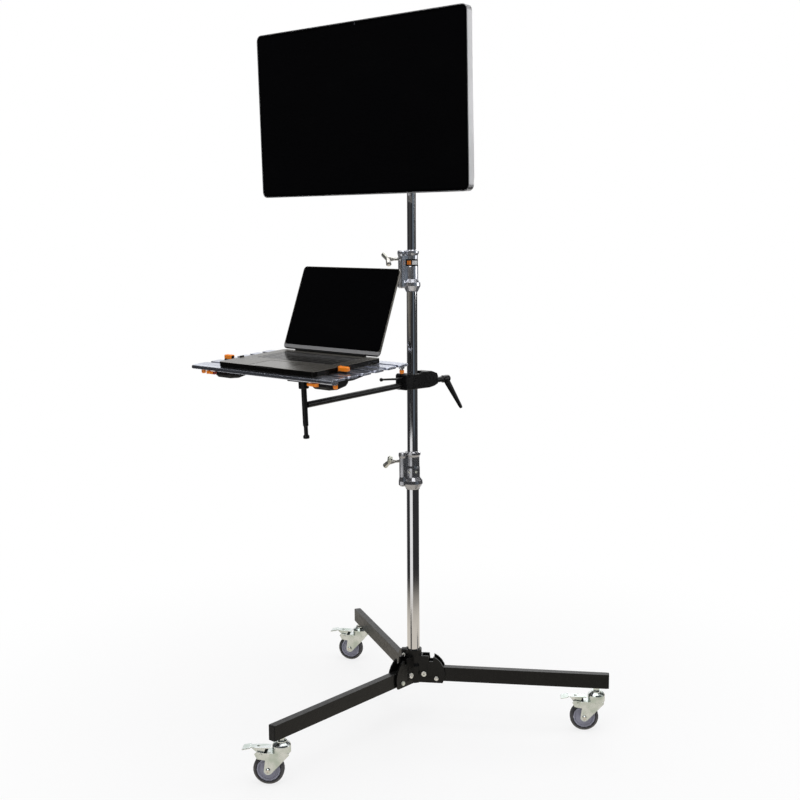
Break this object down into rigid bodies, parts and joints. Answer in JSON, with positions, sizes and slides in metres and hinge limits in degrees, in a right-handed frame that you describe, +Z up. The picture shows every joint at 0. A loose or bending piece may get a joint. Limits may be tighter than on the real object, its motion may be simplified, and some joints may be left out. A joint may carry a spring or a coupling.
{
  "type": "rolling tethering workstation",
  "caption": "Rolling stand with folding braked legs, telescopic column, monitor on a tilting bracket, and a clamped side arm with a slatted tray and laptop.",
  "frame": {"origin": "centre of the bounding box at floor level", "axes": "+Z up, the user stands on the -Y side, +X to the user's right"},
  "size_m": [1.0028, 0.8851, 1.8959],
  "materials": {
    "black_paint": "satin black powder coat",
    "black_metal": "black anodised and painted metal",
    "black_plastic": "matt moulded plastic",
    "chrome": "bright chrome plate",
    "bright_casting": "polished casting",
    "zinc": "zinc plated pressing",
    "tyre_rubber": "moulded rubber",
    "wheel_grey": "moulded plastic",
    "silver_aluminium": "bead blasted",
    "dark_glass": "black display glass",
    "grey_anodised": "bright grey anodised",
    "orange_plastic": "moulded plastic",
    "dark_aluminium": "dark anodised"
  },
  "bodies": {
    "stand": {"base_casting": "black_paint", "lower_tube": "chrome", "lower_collar": "bright_casting", "front_fold_bolt": "zinc", "right_fold_bolt": "zinc", "left_fold_bolt": "zinc"},
    "front_leg": {"front_leg_tube": "black_paint", "front_leg_end_cap": "black_plastic", "front_caster_stem": "zinc"},
    "front_caster": {"front_caster_fork": "zinc"},
    "front_wheel": {"front_wheel_tyre": "tyre_rubber", "front_wheel_core": "wheel_grey"},
    "front_pedal": {"front_brake_pedal": "zinc"},
    "right_leg": {"right_leg_tube": "black_paint", "right_leg_end_cap": "black_plastic", "right_caster_stem": "zinc"},
    "right_caster": {"right_caster_fork": "zinc"},
    "right_wheel": {"right_wheel_tyre": "tyre_rubber", "right_wheel_core": "wheel_grey"},
    "right_pedal": {"right_brake_pedal": "zinc"},
    "left_leg": {"left_leg_tube": "black_paint", "left_leg_end_cap": "black_plastic", "left_caster_stem": "zinc"},
    "left_caster": {"left_caster_fork": "zinc"},
    "left_wheel": {"left_wheel_tyre": "tyre_rubber", "left_wheel_core": "wheel_grey"},
    "left_pedal": {"left_brake_pedal": "zinc"},
    "lower_t_handle": {"lower_t_handle": "zinc"},
    "middle": {"middle_tube": "chrome", "upper_collar": "bright_casting"},
    "upper_t_handle": {"upper_t_handle": "zinc"},
    "top": {"top_tube": "chrome"},
    "bracket": {"monitor_bracket": "black_metal"},
    "bracket_knob": {"bracket_lock_knob": "black_plastic"},
    "monitor": {"monitor_mount_plate": "black_metal", "monitor_rear_shell": "silver_aluminium", "monitor_glass": "dark_glass"},
    "clamp": {"clamp_body": "black_metal"},
    "jaw": {"clamp_jaw": "black_metal"},
    "handle": {"clamp_handle": "black_metal"},
    "arm_lock": {"arm_lock_lever": "black_metal"},
    "arm": {"support_arm": "black_metal", "support_post": "black_metal"},
    "tray": {"tray_receiver": "black_metal", "tray_deck": "grey_anodised", "tray_front_rail": "grey_anodised", "front_left_corner_stud": "bright_casting", "front_right_corner_stud": "bright_casting", "rear_left_corner_stud": "bright_casting", "rear_right_corner_stud": "bright_casting", "left_accessory_pod": "black_plastic", "right_accessory_pod": "black_plastic", "laptop_top_case": "dark_aluminium", "laptop_bottom_cover": "dark_aluminium"},
    "lid": {"laptop_lid": "dark_aluminium", "laptop_screen": "dark_glass"},
    "left_cam": {"left_cam_lever": "orange_plastic"},
    "left_clip": {"left_laptop_clip": "black_plastic"},
    "right_cam": {"right_cam_lever": "orange_plastic"},
    "right_clip": {"right_laptop_clip": "black_plastic"}
  },
  "joints": [
    {"name": "front_leg_fold", "type": "hinge", "parent": "stand", "child": "front_leg", "pos_m": [0.0361, 0.0742, 0.131], "axis": [-1, 0, 0], "range_deg": [0, 90]},
    {"name": "front_caster_swivel", "type": "hinge", "parent": "front_leg", "child": "front_caster", "pos_m": [0.0361, -0.3708, 0.122], "axis": [0, 0, 1], "continuous": true},
    {"name": "front_wheel_spin", "type": "hinge", "parent": "front_caster", "child": "front_wheel", "pos_m": [0.0101, -0.39112, 0.039], "axis": [0.6157, -0.788, 0], "continuous": true},
    {"name": "front_brake_press", "type": "hinge", "parent": "front_caster", "child": "front_pedal", "pos_m": [-0.0033, -0.40158, 0.081], "axis": [0.6157, -0.788, 0], "range_deg": [0, 10]},
    {"name": "right_leg_fold", "type": "hinge", "parent": "stand", "child": "right_leg", "pos_m": [0.09261, 0.1772, 0.131], "axis": [0.5373, -0.8434, 0], "range_deg": [0, 90]},
    {"name": "right_caster_swivel", "type": "hinge", "parent": "right_leg", "child": "right_caster", "pos_m": [0.46792, 0.4163, 0.122], "axis": [0, 0, 1], "continuous": true},
    {"name": "right_wheel_spin", "type": "hinge", "parent": "right_caster", "child": "right_wheel", "pos_m": [0.44122, 0.3969, 0.039], "axis": [0.5878, -0.809, 0], "continuous": true},
    {"name": "right_brake_press", "type": "hinge", "parent": "right_caster", "child": "right_pedal", "pos_m": [0.42747, 0.38691, 0.081], "axis": [0.5878, -0.809, 0], "range_deg": [0, 10]},
    {"name": "left_leg_fold", "type": "hinge", "parent": "stand", "child": "left_leg", "pos_m": [-0.02192, 0.1747, 0.131], "axis": [0.5, 0.866, 0], "range_deg": [0, 90]},
    {"name": "left_caster_swivel", "type": "hinge", "parent": "left_leg", "child": "left_caster", "pos_m": [-0.4073, 0.3972, 0.122], "axis": [0, 0, 1], "continuous": true},
    {"name": "left_wheel_spin", "type": "hinge", "parent": "left_caster", "child": "left_wheel", "pos_m": [-0.43671, 0.38222, 0.039], "axis": [0.454, -0.891, 0], "continuous": true},
    {"name": "left_brake_press", "type": "hinge", "parent": "left_caster", "child": "left_pedal", "pos_m": [-0.45186, 0.3745, 0.081], "axis": [0.454, -0.891, 0], "range_deg": [0, 10]},
    {"name": "lower_t_handle_turn", "type": "hinge", "parent": "stand", "child": "lower_t_handle", "pos_m": [0.0361, 0.1412, 0.752], "axis": [-0.4179, -0.9085, 0], "range_deg": [0, 270]},
    {"name": "middle_riser", "type": "slide", "parent": "stand", "child": "middle", "axis": [0, 0, 1], "range_m": [-0.165, 0.14]},
    {"name": "upper_t_handle_turn", "type": "hinge", "parent": "middle", "child": "upper_t_handle", "pos_m": [0.0361, 0.1412, 1.304], "axis": [-0.4179, -0.9085, 0], "range_deg": [0, 270]},
    {"name": "top_riser", "type": "slide", "parent": "middle", "child": "top", "axis": [0, 0, 1], "range_m": [-0.12, 0.17]},
    {"name": "monitor_pan", "type": "hinge", "parent": "top", "child": "bracket", "pos_m": [0.0361, 0.1412, 1.6825], "axis": [0, 0, 1], "range_deg": [-45, 45]},
    {"name": "bracket_knob_turn", "type": "hinge", "parent": "bracket", "child": "bracket_knob", "pos_m": [0.0361, 0.1412, 1.664], "axis": [-0.0349, 0.9994, 0], "range_deg": [0, 720]},
    {"name": "monitor_tilt", "type": "hinge", "parent": "bracket", "child": "monitor", "pos_m": [0.04133, -0.00871, 1.6825], "axis": [0.9994, 0.0349, 0], "range_deg": [-15, 15]},
    {"name": "clamp_swivel", "type": "hinge", "parent": "middle", "child": "clamp", "pos_m": [0.0361, 0.1412, 0.966], "axis": [0, 0, 1], "range_deg": [-60, 60]},
    {"name": "clamp_jaw_slide", "type": "slide", "parent": "clamp", "child": "jaw", "axis": [0.0148, 0.9999, 0], "range_m": [0, 0.006]},
    {"name": "clamp_handle_turn", "type": "hinge", "parent": "jaw", "child": "handle", "pos_m": [0.0361, 0.1412, 0.966], "axis": [0.0148, 0.9999, 0], "range_deg": [0, 720]},
    {"name": "arm_lock_turn", "type": "hinge", "parent": "clamp", "child": "arm_lock", "pos_m": [0.03559, 0.1067, 0.9855], "axis": [0.9999, -0.0148, 0], "range_deg": [-70, 0]},
    {"name": "arm_roll", "type": "hinge", "parent": "clamp", "child": "arm", "pos_m": [0.0361, 0.1412, 0.966], "axis": [0.0148, 0.9988, 0.0471], "range_deg": [-15, 15]},
    {"name": "tray_swivel", "type": "hinge", "parent": "arm", "child": "tray", "pos_m": [0.03008, -0.2647, 0.94686], "axis": [-0.0007, -0.0471, 0.9989], "range_deg": [-10, 90]},
    {"name": "left_cam_turn", "type": "hinge", "parent": "tray", "child": "left_cam", "pos_m": [-0.25881, -0.3296, 1.03291], "axis": [0.0186, -0.0685, 0.9975], "range_deg": [-90, 0]},
    {"name": "right_cam_turn", "type": "hinge", "parent": "tray", "child": "right_cam", "pos_m": [0.1321, -0.32482, 1.02597], "axis": [0.0186, -0.0685, 0.9975], "range_deg": [0, 90]},
    {"name": "left_clip_slide", "type": "slide", "parent": "tray", "child": "left_clip", "axis": [-0.9998, -0.0122, 0.0178], "range_m": [0, 0.025]},
    {"name": "right_clip_slide", "type": "slide", "parent": "tray", "child": "right_clip", "axis": [0.9998, 0.0122, -0.0178], "range_m": [0, 0.015]},
    {"name": "laptop_lid_hinge", "type": "hinge", "parent": "tray", "child": "lid", "pos_m": [-0.05065, -0.09126, 1.06234], "axis": [0.9998, 0.0122, -0.0178], "range_deg": [-12, 112]}
  ],
  "couplings": [
    {"joint": "clamp_jaw_slide", "follows": "clamp_handle_turn", "m_per_rad": 0.000477}
  ]
}
